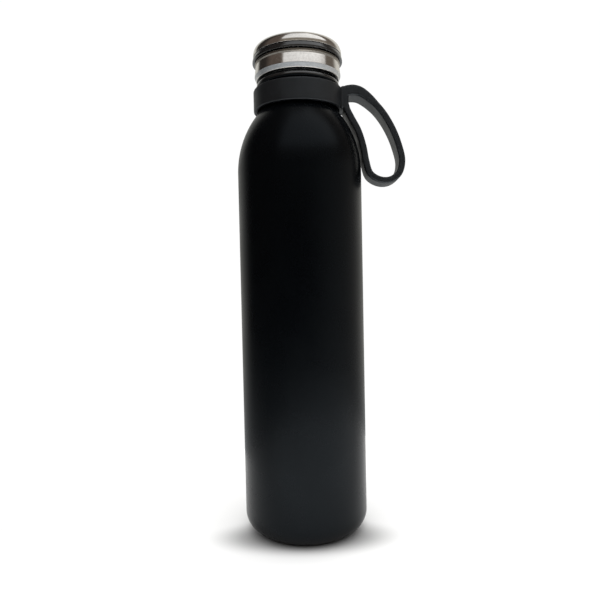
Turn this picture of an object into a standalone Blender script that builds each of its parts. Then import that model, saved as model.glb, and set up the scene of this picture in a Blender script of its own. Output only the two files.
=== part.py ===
"""Insulated water bottle: a double-walled steel bottle with a screw lid and a silicone carry loop.

Frame: the origin is the centre of the flat base, +Z runs up the bottle's axis, and the carry loop
hangs on the +X side. Lengths below are in millimetres and become metres by the factor MM.
"""

from math import acos, cos, degrees, pi, radians, sin

import bmesh
import bpy
from mathutils import Matrix, Vector

MM = 0.001
GAP = 0.35               # left between pieces that touch or are welded
OUTSIDE_SEGMENTS = 40    # facets round the pieces that show
INSIDE_SEGMENTS = 32     # facets round the pieces inside
SMALL_SEGMENTS = 20
SMOOTH_ANGLE = 0.6       # radians; sharper edges than this stay sharp
WELD_DISTANCE = 0.001    # points closer than this are one point

# Outer shell
WALL = 0.5
BODY_RADIUS = 36.5
BASE_CORNER = 10.9
FOOT_INNER_RADIUS = 22.8
SHOULDER_START = 211.5
SHOULDER_CURVE = 54.0
SHOULDER_END_RADIUS = 24.5
NECK_RADIUS = 23.5
NECK_START = 248.4
NECK_FOOT = (23.75, 246.9)   # where the shoulder has nearly become the neck
BEAD_START = 260.4
BEAD_RADIUS = 24.35
BEAD_ROUNDING = 0.9
BEAD_BULGE = 0.25        # how far the bead's middle stands out past its shoulders
SHELL_TOP = 264.8
SHELL_SEAM = 16.0        # where the shell's tube is welded to its base cup
SHOULDER_FACETS = 8
BASE_CORNER_FACETS = 5

# Vacuum parts under the liner
BASE_PLATE_RADIUS = 25.2
BASE_PLATE_THICKNESS = 0.6
COVER_CHAMFER = 0.15
DIMPLE_RADIUS = 4.4
DIMPLE_MOUTH_RADIUS = 7.8
DIMPLE_DEPTH = 1.75
DIMPLE_SHEET = 0.3       # how far the dimple's underside is set in from its top side
PORT_RADIUS = 1.2
SEAL_RADIUS = 3.4
SEAL_FOOT_RADIUS = 2.4
SEAL_HEIGHT = 1.1
SEAL_EDGE = 0.35
SEAL_BULGE = 0.2
GETTER_RADIUS = 4.5
GETTER_HEIGHT = 1.2
GETTER_CHAMFER = 0.3

# Liner
VACUUM_GAP = 2.8
LINER_RADIUS = BODY_RADIUS - WALL - VACUUM_GAP
LINER_FLOOR = 5.5
LINER_CORNER = 8.0
FINISH_RADIUS = 21.3     # threaded neck, outside
MOUTH_RADIUS = 20.4      # threaded neck, inside
FINISH_START = 246.5
MOUTH_START = 246.1      # where the inside of the threaded neck begins
LIP_HEIGHT = 279.5
LINER_SEAM = 19.0        # where the liner's tube is welded to its floor
LINER_SHOULDER_FACETS = 6
LINER_CORNER_FACETS = 4
LINER_SHOULDER_END = 0.9 # the shoulder's arc stops this far outside the threaded neck
LIP_CURL = 0.7           # height of the rolled lip
LIP_CREST = (0.3, 0.15)  # half width and drop of the lip's crest

# Screw thread: two starts
THREAD_STARTS = 2
THREAD_LEAD = 8.0
NECK_THREAD = {"root": FINISH_RADIUS, "crest": 22.2, "root_width": 2.0, "crest_width": 1.1,
               "bottom": 267.6, "turns": 1.0}
LID_THREAD = {"root": 22.6, "crest": 21.7, "root_width": 1.8, "crest_width": 1.0,
              "bottom": 267.4, "turns": 0.8}
THREAD_BITE = 0.35       # how far a thread's foot sinks into its wall
THREAD_RUN_OUT = 0.12    # share of a thread's length that fades at each end
THREAD_END = 0.15        # a thread's height at its very end, as a share of its full height

# Silicone carry strap
COLLAR_INNER_RADIUS = 24.0
COLLAR_RADIUS = 26.33
COLLAR_BOTTOM = 247.5
COLLAR_TOP = 259.85
COLLAR_ROUNDING = 1.1
ROUNDING_FACETS = 2
STRAP_WIDTH = 14.6
TAB_INNER = 24.8
TAB_FACE = 29.5
TAB_BOTTOM = 247.7
TAB_TOP = 260.8
TAB_CHAMFER = 0.8
LOOP_THICKNESS = 3.8
LOOP_ROOT_THICKNESS = 5.2
LOOP_ROOT_LENGTH = 16.0  # the band thins from its root over this length
LOOP_KNUCKLE = LOOP_ROOT_THICKNESS / 2
LOOP_PIVOT = (TAB_FACE + GAP + LOOP_KNUCKLE, 258.1)
LOOP_LINE = [LOOP_PIVOT, (37.1, 256.9), (43.2, 252.0), (49.7, 244.4), (55.0, 235.0), (58.5, 225.4),
             (60.1, 217.2), (58.4, 210.1), (53.3, 206.2), (47.0, 206.3), (41.4, 210.0), (39.1, 217.2),
             (37.5, 226.0), (34.9, 234.6), (31.3, 242.0), (29.0, 247.0)]
LOOP_STEPS = 3           # pieces between each two points of the line
KNUCKLE_SWEEP = (80, 260)    # degrees; the part of the knuckle that faces the tab
KNUCKLE_FACETS = 8
LOOP_EDGE_BEVEL = 0.7

# Lid
BAND_BOTTOM = 265.5
BAND_TOP = 275.6
BAND_FOOT_RADIUS = 24.6
BAND_FOOT_INNER = 24.2
BAND_CREASE = (25.4, 268.0)  # the widest point, above the bevel
BAND_WAIST = (24.75, 273.8)  # the narrowest point, under the lip
BAND_LIP_RADIUS = 25.2
BAND_LIP_START = 274.4
BAND_LIP_ROUNDING = 0.25
BAND_SHEET = 0.5
CAP_RADIUS = 26.0
CAP_BOTTOM = 279.2
CAP_TOP = 285.0
CAP_SHEET = 0.5
CAP_RIM = (22.6, 280.2)  # centre of the rim's quarter ellipse
CAP_DISH_RADIUS = 21.2
CAP_DISH_DEPTH = 0.6
CAP_DISH_EDGE = (21.8, 284.85)   # the rim's inner shoulder, above the dish
CAP_HEM = 0.2            # how far the cap's lower edge turns in
CAP_RIM_FACETS = 6
GRIP_RING_INNER = 24.25
GRIP_RING_OUTER = 26.49
GRIP_RING_BOTTOM = 275.95
GRIP_RING_TOP = 278.85
GRIP_RING_FACETS = 8     # round the ring's section
CORE_RADIUS = 23.85
CORE_BOTTOM = 266.2
CORE_FLANGE_START = 279.4
CORE_RIM_FACETS = 4
CORE_CEILING = 281.9     # underside of the core's top plate, over the gasket
PLUG_RADIUS = 19.0
PLUG_INNER_RADIUS = 18.0
PLUG_BOTTOM = 269.4
FOAM_CEILING = 281.4
PLUG_CUP_RADIUS = 19.75
PLUG_CUP_SHEET = 0.4
PLUG_CUP_TOP = 277.5
PLUG_CUP_CORNER = 0.6
PLUG_CUP_BEND = 0.15     # how far the middle of the cup's rounded corner is set in
PLUG_CUP_INNER_CORNER = 0.25
FOAM_BOTTOM = 269.5
GASKET_HEIGHT = 1.7
GASKET_CHAMFER = 0.2


def clear_scene():
    """Removes whatever objects the file starts with."""
    for thing in list(bpy.data.objects):
        bpy.data.objects.remove(thing, do_unlink=True)


def material(name, colour, roughness, metallic=0.0):
    """One Principled material in the piece's own colour."""
    made = bpy.data.materials.new(name)
    made.use_nodes = True
    shader = made.node_tree.nodes["Principled BSDF"]
    shader.inputs["Base Color"].default_value = (*colour, 1.0)
    shader.inputs["Roughness"].default_value = roughness
    shader.inputs["Metallic"].default_value = metallic
    made.diffuse_color = (*colour, 1.0)
    return made


def powder_coat(name):
    return material(name, (0.012, 0.013, 0.015), 0.55)


def steel(name, roughness=0.25):
    return material(name, (0.62, 0.60, 0.57), roughness, metallic=1.0)


def silicone(name):
    return material(name, (0.022, 0.023, 0.025), 0.6)


def black_plastic(name):
    return material(name, (0.015, 0.015, 0.016), 0.4)


def add_object(name, bm, finish):
    """Turns a bmesh in millimetres into a named object in metres, with its faces pointing out."""
    bmesh.ops.recalc_face_normals(bm, faces=bm.faces)
    bm.transform(Matrix.Scale(MM, 4))
    mesh = bpy.data.meshes.new(name)
    bm.to_mesh(mesh)
    bm.free()
    mesh.materials.append(finish)
    mesh.shade_smooth()
    mesh.set_sharp_from_angle(angle=SMOOTH_ANGLE)
    made = bpy.data.objects.new(name, mesh)
    bpy.context.scene.collection.objects.link(made)
    return made


def arc(centre, radii, start, end, steps):
    """Points (radius, height) on an ellipse's arc in the turned profile's plane; angles in degrees."""
    points = []
    for step in range(steps + 1):
        angle = radians(start + (end - start) * step / steps)
        points.append((centre[0] + radii[0] * cos(angle), centre[1] + radii[1] * sin(angle)))
    return points


def turned(name, outline, finish, segments):
    """A solid of revolution about Z. An outline that starts on the axis also ends on it."""
    bm = bmesh.new()
    points = [bm.verts.new((radius, 0.0, height)) for radius, height in outline]
    lines = [bm.edges.new(pair) for pair in zip(points, points[1:])]
    if outline[0][0] > 0:
        lines.append(bm.edges.new((points[-1], points[0])))
    bmesh.ops.spin(bm, geom=points + lines, cent=(0, 0, 0), axis=(0, 0, 1), angle=2 * pi,
                   steps=segments, use_merge=True)
    bmesh.ops.remove_doubles(bm, verts=bm.verts, dist=WELD_DISTANCE)
    return add_object(name, bm, finish)


def helix_ridge(name, thread, start, facets):
    """One start of a screw thread: a trapezium swept up a helix, fading at both ends."""
    count = round(facets * thread["turns"])
    side = 1 if thread["crest"] > thread["root"] else -1
    bm = bmesh.new()
    rings = []
    for step in range(count + 1):
        turn = thread["turns"] * step / count
        angle = 2 * pi * (turn + start / THREAD_STARTS) + thread.get("phase", 0.0) + pi / facets
        height = thread["bottom"] + THREAD_LEAD * turn
        ends = min(step, count - step) / (count * THREAD_RUN_OUT)
        crest = thread["root"] + (thread["crest"] - thread["root"]) * min(1.0, THREAD_END + ends)
        foot = thread["root"] - side * THREAD_BITE
        foot_half = thread["root_width"] / 2
        crest_half = thread["crest_width"] / 2
        corners = [(foot, -foot_half), (crest, -crest_half), (crest, crest_half), (foot, foot_half)]
        rings.append([bm.verts.new((r * cos(angle), r * sin(angle), height + z)) for r, z in corners])
    for lower, upper in zip(rings, rings[1:]):
        for corner in range(4):
            bm.faces.new((lower[corner - 1], lower[corner], upper[corner], upper[corner - 1]))
    bm.faces.new(rings[0])
    bm.faces.new(rings[-1])
    return add_object(name, bm, None)


def join(base, additions):
    """Unites base with the added shapes into one body, and removes those shapes' own objects."""
    for addition in additions:
        union = base.modifiers.new("union", "BOOLEAN")
        union.operation = "UNION"
        union.solver = "EXACT"
        union.object = addition
    shaped = base.evaluated_get(bpy.context.evaluated_depsgraph_get())
    mesh = bpy.data.meshes.new_from_object(shaped)
    finish = base.data.materials[0]
    base.modifiers.clear()
    base.data = mesh
    mesh.materials.clear()
    mesh.materials.append(finish)
    mesh.shade_smooth()
    mesh.set_sharp_from_angle(angle=SMOOTH_ANGLE)
    for addition in additions:
        bpy.data.objects.remove(addition, do_unlink=True)
    return base


def add_threads(base, thread, facets):
    ridges = [helix_ridge("ridge", thread, start, facets) for start in range(THREAD_STARTS)]
    return join(base, ridges)


def shoulder_arc(offset, end_radius, steps):
    """The shoulder's profile, offset inwards from the outer shell's face, up to end_radius."""
    centre = BODY_RADIUS - SHOULDER_CURVE
    radius = SHOULDER_CURVE - offset
    end = degrees(acos((end_radius - centre) / radius))
    return arc((centre, SHOULDER_START), (radius, radius), 0, end, steps)


def build_outer_shell():
    """Powder-coated outer wall: the tube with its shoulder, neck and bead, and the base cup under it."""
    bead_shoulder = BEAD_RADIUS - BEAD_BULGE
    bead_middle = (BEAD_START + SHELL_TOP) / 2
    outside = [(BODY_RADIUS, SHELL_SEAM)]
    outside += shoulder_arc(0.0, SHOULDER_END_RADIUS, SHOULDER_FACETS)
    outside += [NECK_FOOT, (NECK_RADIUS, NECK_START), (NECK_RADIUS, BEAD_START),
                (bead_shoulder, BEAD_START + BEAD_ROUNDING), (BEAD_RADIUS, bead_middle),
                (bead_shoulder, SHELL_TOP - BEAD_ROUNDING), (BEAD_RADIUS - BEAD_ROUNDING, SHELL_TOP),
                (FINISH_RADIUS + GAP, SHELL_TOP)]
    inside = [(FINISH_RADIUS + GAP, SHELL_TOP - WALL), (NECK_RADIUS - WALL, SHELL_TOP - WALL),
              (NECK_RADIUS - WALL, NECK_START)]
    inside += shoulder_arc(WALL, SHOULDER_END_RADIUS - WALL, SHOULDER_FACETS)[::-1]
    inside += [(BODY_RADIUS - WALL, SHELL_SEAM)]
    turned("outer_shell", outside + inside, powder_coat("black powder coat"), OUTSIDE_SEGMENTS)

    corner = (BODY_RADIUS - BASE_CORNER, BASE_CORNER)
    rim = SHELL_SEAM - GAP
    cup = [(FOOT_INNER_RADIUS, 0.0)]
    cup += arc(corner, (BASE_CORNER, BASE_CORNER), -90, 0, BASE_CORNER_FACETS)
    cup += [(BODY_RADIUS, rim), (BODY_RADIUS - WALL, rim)]
    cup += arc(corner, (BASE_CORNER - WALL, BASE_CORNER - WALL), 0, -90, BASE_CORNER_FACETS)
    cup += [(FOOT_INNER_RADIUS, WALL)]
    turned("outer_base", cup, powder_coat("black powder coat on the base"), OUTSIDE_SEGMENTS)


def build_base_parts():
    """The flat base cover, the welded vacuum plate with its port, the port's seal and the getter."""
    cover_radius = FOOT_INNER_RADIUS - GAP
    cover = [(0.0, WALL), (cover_radius, WALL), (cover_radius, COVER_CHAMFER),
             (cover_radius - COVER_CHAMFER, 0.0), (0.0, 0.0)]
    turned("base_cover", cover, steel("base cover steel", 0.35), INSIDE_SEGMENTS)

    low = WALL + GAP
    high = low + BASE_PLATE_THICKNESS
    plate = [(BASE_PLATE_RADIUS, low), (BASE_PLATE_RADIUS, high), (DIMPLE_MOUTH_RADIUS, high),
             (DIMPLE_RADIUS, high + DIMPLE_DEPTH), (PORT_RADIUS, high + DIMPLE_DEPTH),
             (PORT_RADIUS, low + DIMPLE_DEPTH), (DIMPLE_RADIUS - DIMPLE_SHEET, low + DIMPLE_DEPTH),
             (DIMPLE_MOUTH_RADIUS - DIMPLE_SHEET, low)]
    turned("vacuum_plate", plate, steel("vacuum plate steel", 0.4), INSIDE_SEGMENTS)

    seal_top = low + DIMPLE_DEPTH - GAP
    seal_foot = seal_top - SEAL_HEIGHT
    seal = [(0.0, seal_top), (SEAL_RADIUS, seal_top), (SEAL_RADIUS, seal_top - SEAL_EDGE),
            (SEAL_FOOT_RADIUS, seal_foot + SEAL_BULGE), (0.0, seal_foot)]
    turned("vacuum_port_seal", seal, material("solder glass", (0.05, 0.07, 0.06), 0.15), SMALL_SEGMENTS)

    getter_top = LINER_FLOOR - GAP
    getter_foot = getter_top - GETTER_HEIGHT
    getter = [(0.0, getter_top), (GETTER_RADIUS, getter_top), (GETTER_RADIUS, getter_foot + GETTER_CHAMFER),
              (GETTER_RADIUS - GETTER_CHAMFER, getter_foot), (0.0, getter_foot)]
    turned("getter", getter, material("getter alloy", (0.25, 0.24, 0.22), 0.6, 1.0), SMALL_SEGMENTS)


def build_liner():
    """Inner vessel: the tube with its shoulder and threaded neck, and the floor welded under it."""
    offset = WALL + VACUUM_GAP
    lip_middle = (FINISH_RADIUS + MOUTH_RADIUS) / 2
    crest_half, crest_drop = LIP_CREST
    outline = [(LINER_RADIUS, LINER_SEAM)]
    outline += shoulder_arc(offset, FINISH_RADIUS + LINER_SHOULDER_END, LINER_SHOULDER_FACETS)
    outline += [(FINISH_RADIUS, FINISH_START), (FINISH_RADIUS, LIP_HEIGHT - LIP_CURL),
                (lip_middle + crest_half, LIP_HEIGHT - crest_drop), (lip_middle, LIP_HEIGHT),
                (lip_middle - crest_half, LIP_HEIGHT - crest_drop), (MOUTH_RADIUS, LIP_HEIGHT - LIP_CURL),
                (MOUTH_RADIUS, MOUTH_START)]
    outline += shoulder_arc(offset + WALL, FINISH_RADIUS + LINER_SHOULDER_END - WALL,
                            LINER_SHOULDER_FACETS)[::-1]
    outline += [(LINER_RADIUS - WALL, LINER_SEAM)]
    liner = turned("inner_vessel", outline, steel("liner steel", 0.3), INSIDE_SEGMENTS)
    add_threads(liner, NECK_THREAD, INSIDE_SEGMENTS)

    corner = (LINER_RADIUS - LINER_CORNER, LINER_FLOOR + LINER_CORNER)
    rim = LINER_SEAM - GAP
    floor = [(0.0, LINER_FLOOR)]
    floor += arc(corner, (LINER_CORNER, LINER_CORNER), -90, 0, LINER_CORNER_FACETS)
    floor += [(LINER_RADIUS, rim), (LINER_RADIUS - WALL, rim)]
    floor += arc(corner, (LINER_CORNER - WALL, LINER_CORNER - WALL), 0, -90, LINER_CORNER_FACETS)
    floor += [(0.0, LINER_FLOOR + WALL)]
    turned("inner_floor", floor, steel("liner floor steel", 0.3), INSIDE_SEGMENTS)


def build_collar():
    """The strap's collar round the neck, with the tab that the loop springs from."""
    rounding = COLLAR_ROUNDING
    middle = COLLAR_RADIUS - rounding
    radii = (rounding, rounding)
    outline = [(COLLAR_INNER_RADIUS, COLLAR_BOTTOM)]
    outline += arc((middle, COLLAR_BOTTOM + rounding), radii, -90, 0, ROUNDING_FACETS)
    outline += arc((middle, COLLAR_TOP - rounding), radii, 0, 90, ROUNDING_FACETS)
    outline += [(COLLAR_INNER_RADIUS, COLLAR_TOP)]
    collar = turned("strap_collar", outline, silicone("collar silicone"), OUTSIDE_SEGMENTS)

    bm = bmesh.new()
    bmesh.ops.create_cube(bm, size=1.0)
    size = (TAB_FACE - TAB_INNER, STRAP_WIDTH, TAB_TOP - TAB_BOTTOM)
    middle = ((TAB_FACE + TAB_INNER) / 2, 0.0, (TAB_TOP + TAB_BOTTOM) / 2)
    bmesh.ops.transform(bm, matrix=Matrix.LocRotScale(Vector(middle), None, Vector(size)), verts=bm.verts)
    corners = [edge for edge in bm.edges if all(v.co.x > middle[0] for v in edge.verts)]
    bmesh.ops.bevel(bm, geom=corners, offset=TAB_CHAMFER, segments=1, affect="EDGES")
    tab = add_object("tab", bm, None)
    return join(collar, [tab])


def smooth_line(points, steps):
    """A Catmull-Rom curve through the points, with steps pieces between each two."""
    vectors = [Vector(point) for point in points]
    vectors = [2 * vectors[0] - vectors[1]] + vectors + [2 * vectors[-1] - vectors[-2]]
    line = []
    for a, b, c, d in zip(vectors, vectors[1:], vectors[2:], vectors[3:]):
        for step in range(steps):
            t = step / steps
            line.append(0.5 * (2 * b + (c - a) * t + (2 * a - 5 * b + 4 * c - d) * t * t
                               + (3 * b - a - 3 * c + d) * t ** 3))
    return line + [vectors[-2]]


def build_loop():
    """The strap's loop: a flat band bent into a teardrop, with a round knuckle on its flex axis."""
    line = smooth_line(LOOP_LINE, LOOP_STEPS)
    pivot = line[0]
    upper, lower = [], []
    distance = 0.0
    for before, here, after in zip([pivot] + line[:-1], line, line[1:] + line[-1:]):
        distance += (here - before).length
        if distance < LOOP_KNUCKLE:
            continue
        tangent = (after - before).normalized()
        root_share = max(0.0, 1 - distance / LOOP_ROOT_LENGTH)
        half = (LOOP_THICKNESS + (LOOP_ROOT_THICKNESS - LOOP_THICKNESS) * root_share) / 2
        normal = Vector((-tangent.y, tangent.x)) * half
        upper.append(here + normal)
        lower.append(here - normal)
    size = (LOOP_KNUCKLE, LOOP_KNUCKLE)
    knuckle = [Vector(point) for point in arc(pivot, size, *KNUCKLE_SWEEP, KNUCKLE_FACETS)]
    outline = knuckle + lower + upper[::-1]

    bm = bmesh.new()
    front = bm.faces.new([bm.verts.new((point.x, -STRAP_WIDTH / 2, point.y)) for point in outline])
    made = bmesh.ops.extrude_face_region(bm, geom=[front])
    back = [item for item in made["geom"] if isinstance(item, bmesh.types.BMVert)]
    bmesh.ops.translate(bm, vec=(0, STRAP_WIDTH, 0), verts=back)
    rims = [edge for edge in bm.edges if edge.verts[0].co.y * edge.verts[1].co.y > 0]
    bmesh.ops.bevel(bm, geom=rims, offset=LOOP_EDGE_BEVEL, segments=1, affect="EDGES")
    flex_axis = Vector((pivot.x, 0.0, pivot.y))
    bm.transform(Matrix.Translation(-flex_axis))
    loop = add_object("strap_loop", bm, silicone("loop silicone"))
    loop.location = flex_axis * MM
    return loop


def build_lid_steel():
    """The lid's two steel pieces: the conical skirt band and the rounded top cap."""
    crease_radius, crease = BAND_CREASE
    waist_radius, waist = BAND_WAIST
    lip = BAND_LIP_RADIUS
    lip_shoulder = lip - BAND_LIP_ROUNDING
    band = [(BAND_FOOT_RADIUS, BAND_BOTTOM), BAND_CREASE, BAND_WAIST, (lip, BAND_LIP_START),
            (lip, BAND_TOP - BAND_LIP_ROUNDING), (lip_shoulder, BAND_TOP),
            (waist_radius - BAND_SHEET, BAND_TOP), (waist_radius - BAND_SHEET, waist),
            (crease_radius - BAND_SHEET, crease), (BAND_FOOT_INNER, BAND_BOTTOM)]
    turned("lid_skirt_band", band, steel("skirt band steel", 0.22), OUTSIDE_SEGMENTS)

    reach = (CAP_RADIUS - CAP_RIM[0], CAP_TOP - CAP_RIM[1])
    inner_reach = (reach[0] - CAP_SHEET, reach[1] - CAP_SHEET)
    dish = CAP_TOP - CAP_DISH_DEPTH
    cap = [(0.0, dish), (CAP_DISH_RADIUS, dish), CAP_DISH_EDGE]
    cap += arc(CAP_RIM, reach, 90, 0, CAP_RIM_FACETS)
    cap += [(CAP_RADIUS - CAP_HEM, CAP_BOTTOM), (CAP_RADIUS - CAP_SHEET, CAP_BOTTOM)]
    cap += arc(CAP_RIM, inner_reach, 0, 90, CAP_RIM_FACETS)
    cap += [(CAP_DISH_RADIUS, dish - CAP_SHEET), (0.0, dish - CAP_SHEET)]
    turned("lid_top_cap", cap, steel("top cap steel", 0.2), OUTSIDE_SEGMENTS)


def build_grip_ring():
    """Rubber ring in the groove between the lid's two steel pieces."""
    middle = ((GRIP_RING_INNER + GRIP_RING_OUTER) / 2, (GRIP_RING_BOTTOM + GRIP_RING_TOP) / 2)
    reach = ((GRIP_RING_OUTER - GRIP_RING_INNER) / 2, (GRIP_RING_TOP - GRIP_RING_BOTTOM) / 2)
    outline = arc(middle, reach, 0, 360, GRIP_RING_FACETS)[:-1]
    finish = material("grip ring rubber", (0.01, 0.011, 0.012), 0.3)
    turned("lid_grip_ring", outline, finish, OUTSIDE_SEGMENTS)


def build_lid_core():
    """Plastic core: threaded skirt, flange under the cap, top plate and the hollow plug."""
    space = CAP_SHEET + GAP
    reach = (CAP_RADIUS - CAP_RIM[0] - space, CAP_TOP - CAP_RIM[1] - space)
    top = CAP_TOP - CAP_DISH_DEPTH - space
    outline = [(0.0, top), (CAP_DISH_RADIUS, top)]
    outline += arc(CAP_RIM, reach, 90, 0, CORE_RIM_FACETS)
    outline += [(CAP_RIM[0] + reach[0], CORE_FLANGE_START), (CORE_RADIUS, CORE_FLANGE_START),
                (CORE_RADIUS, CORE_BOTTOM), (LID_THREAD["root"], CORE_BOTTOM),
                (LID_THREAD["root"], CORE_CEILING), (PLUG_RADIUS, CORE_CEILING),
                (PLUG_RADIUS, PLUG_BOTTOM), (PLUG_INNER_RADIUS, PLUG_BOTTOM),
                (PLUG_INNER_RADIUS, FOAM_CEILING), (0.0, FOAM_CEILING)]
    core = turned("lid_core", outline, black_plastic("core plastic"), INSIDE_SEGMENTS)
    return add_threads(core, dict(LID_THREAD, phase=lid_thread_phase()), INSIDE_SEGMENTS)


def lid_thread_phase():
    """Turns the lid's thread so that it runs midway between the neck's two starts."""
    half_pitch = THREAD_LEAD / THREAD_STARTS / 2
    rise = NECK_THREAD["bottom"] + half_pitch - LID_THREAD["bottom"]
    return -2 * pi * rise / THREAD_LEAD


def build_lid_inside():
    """What the core carries: the plug's foam, its steel cup and the sealing gasket."""
    foam_radius = PLUG_INNER_RADIUS - GAP
    foam = [(0.0, FOAM_CEILING - GAP), (foam_radius, FOAM_CEILING - GAP), (foam_radius, FOAM_BOTTOM),
            (0.0, FOAM_BOTTOM)]
    turned("lid_foam", foam, material("foam", (0.75, 0.72, 0.62), 0.9), INSIDE_SEGMENTS)

    radius = PLUG_CUP_RADIUS
    sheet = PLUG_CUP_SHEET
    floor = PLUG_BOTTOM - GAP - sheet
    inside = radius - sheet
    cup = [(0.0, floor), (radius - PLUG_CUP_CORNER, floor), (radius - PLUG_CUP_BEND, floor + PLUG_CUP_BEND),
           (radius, floor + PLUG_CUP_CORNER), (radius, PLUG_CUP_TOP), (inside, PLUG_CUP_TOP),
           (inside, floor + sheet + PLUG_CUP_INNER_CORNER), (inside - PLUG_CUP_INNER_CORNER, floor + sheet),
           (0.0, floor + sheet)]
    turned("lid_plug_cup", cup, steel("plug cup steel", 0.3), INSIDE_SEGMENTS)

    inner = PLUG_RADIUS + GAP
    outer = LID_THREAD["root"] - GAP
    top = CORE_CEILING - GAP
    foot = top - GASKET_HEIGHT
    gasket = [(inner, top), (outer, top), (outer, foot + GASKET_CHAMFER), (outer - GASKET_CHAMFER, foot),
              (inner + GASKET_CHAMFER, foot), (inner, foot + GASKET_CHAMFER)]
    turned("lid_gasket", gasket, material("gasket silicone", (0.8, 0.8, 0.78), 0.5), INSIDE_SEGMENTS)


clear_scene()
build_outer_shell()
build_base_parts()
build_liner()
build_collar()
build_loop()
build_lid_steel()
build_grip_ring()
build_lid_core()
build_lid_inside()
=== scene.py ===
"""Looks of the insulated water bottle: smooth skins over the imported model, materials, light and camera.

Lengths are in millimetres and become metres by the factor MM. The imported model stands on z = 0 with
its axis on Z, and its carry loop hangs on the +X side.
"""

from math import acos, atan2, cos, degrees, hypot, pi, radians, sin, tan

import bmesh
import bpy
import numpy as np
from mathutils import Matrix, Vector


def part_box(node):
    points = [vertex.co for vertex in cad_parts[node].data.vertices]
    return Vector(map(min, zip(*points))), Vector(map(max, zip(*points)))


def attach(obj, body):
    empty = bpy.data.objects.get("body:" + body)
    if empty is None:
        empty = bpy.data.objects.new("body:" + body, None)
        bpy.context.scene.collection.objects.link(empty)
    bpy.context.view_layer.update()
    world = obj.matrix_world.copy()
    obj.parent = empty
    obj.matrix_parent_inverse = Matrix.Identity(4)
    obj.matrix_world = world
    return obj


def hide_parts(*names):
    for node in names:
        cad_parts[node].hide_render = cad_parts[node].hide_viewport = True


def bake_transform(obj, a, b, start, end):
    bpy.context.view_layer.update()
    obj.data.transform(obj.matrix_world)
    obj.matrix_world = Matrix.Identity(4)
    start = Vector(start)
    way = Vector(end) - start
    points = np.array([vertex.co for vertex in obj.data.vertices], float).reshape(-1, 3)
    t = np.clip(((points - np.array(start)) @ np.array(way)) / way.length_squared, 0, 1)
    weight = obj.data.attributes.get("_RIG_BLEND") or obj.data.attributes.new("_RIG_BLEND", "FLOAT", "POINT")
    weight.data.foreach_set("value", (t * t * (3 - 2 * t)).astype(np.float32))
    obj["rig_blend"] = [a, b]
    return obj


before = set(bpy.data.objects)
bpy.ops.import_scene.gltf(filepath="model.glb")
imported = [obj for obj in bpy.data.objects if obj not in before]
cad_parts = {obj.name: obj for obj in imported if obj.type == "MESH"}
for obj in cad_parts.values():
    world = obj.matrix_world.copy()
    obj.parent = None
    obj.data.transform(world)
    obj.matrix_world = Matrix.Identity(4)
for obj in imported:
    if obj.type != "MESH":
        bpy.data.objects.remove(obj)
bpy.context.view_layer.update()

MM = 0.001
AROUND = 224             # segments round a turned piece
ARC_STEP = 11.0          # degrees between points on a rounded corner
CUT_EDGE = 0.12          # fillet of a sheet's cut edge
FLAT_MARGIN = 0.12       # how near its ends a straight run gets points that keep it flat

# Shell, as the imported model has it
WALL = 0.5
BASE_CORNER = 10.9
SHOULDER_START = 211.5
SHOULDER_CURVE = 54.0
SHOULDER_END_RADIUS = 25.0
NECK_RADIUS = 23.5
NECK_START = 247.6
NECK_FILLET = 1.6
BEAD_START = 260.4
BEAD_CENTRE = (23.0, 262.35)
BEAD_SIZE = (1.35, 1.75)
BEAD_ARC = (-58, 62)     # degrees
BEAD_GLOSS_START = 262.0  # above this height the paint is glossy
CROWN_RADIUS = 22.9      # above the bead
MOUTH_GAP = 0.35         # between the shell's upper edge and the liner's neck
FOOT_INNER_RADIUS = 22.8

# Base disc, with a shallow ring pressed into it
DISC_RING = (15.2, 17.4)
DISC_RING_SLOPE = 0.4
DISC_RING_DEPTH = 0.14
DISC_FILLET = 0.25

# Liner
LINER_INSET = 3.3        # from the shell's face to the liner's
LINER_CORNER = 8.0
FINISH_RADIUS = 21.3
MOUTH_RADIUS = 20.4
FINISH_START = 246.5
LIP_ROLL = 0.45
LIP_CLEAR = 1.6          # below the lip, where the neck's fine rings start

# Screw thread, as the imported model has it
THREAD_STARTS = 2
THREAD_LEAD = 8.0
THREAD_FACETS = 32
THREAD_RUN_OUT = 0.12    # share of its length in which a thread rises at each end
THREAD_RING_STEP = 0.22  # between the rings of a threaded wall
NECK_THREADED_FROM = 264.0
LID_THREADED_TO = 276.2
NECK_THREAD = {"root": 21.3, "crest": 22.2, "foot": 2.0, "top": 1.1, "bottom": 267.6, "turns": 1.0,
               "phase": 0.0}
LID_THREAD = {"root": 22.6, "crest": 21.7, "foot": 1.8, "top": 1.0, "bottom": 267.4, "turns": 0.8}

# The lid's thread runs midway between the neck's two starts
THREAD_LIFT = NECK_THREAD["bottom"] + THREAD_LEAD / THREAD_STARTS / 2 - LID_THREAD["bottom"]
LID_THREAD["phase"] = -2 * pi * THREAD_LIFT / THREAD_LEAD

# Lid
BAND_FOOT_RADII = (24.0, 24.45)
BAND_BEVEL = 2.5         # height of the bevel, which ends at the crease
BAND_CREASE_RADII = (24.9, 25.38)
BAND_WAIST = (24.75, 273.7)
BAND_LIP_RADIUS = 25.2
BAND_LIP_INNER_RADII = (24.3, 24.35)
BAND_LIP_START = 274.45
CAP_RIM = (22.6, 280.2)  # centre of the rim's curve
CAP_DISH_RADIUS = 20.9
CAP_DISH_DEPTH = 0.6
CAP_BROW = (21.5, 0.12)  # where the dish's slope meets the rim: radius, and depth below the top
CAP_INNER_DISH_RADIUS = 21.2
RING_INNER_RADIUS = 24.25
RING_STRAIGHT = 1.1      # height of its upright lower part
RING_TAPER = 0.55
CORE_RIM_SIZE = (2.55, 3.95)
CORE_RADIUS = 23.85
CORE_FLANGE = 279.4      # height of the flange's lower face
CORE_CEILING = 281.9     # above the channel that takes the mouth
PLUG_RADII = (18.0, 19.0)
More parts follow.
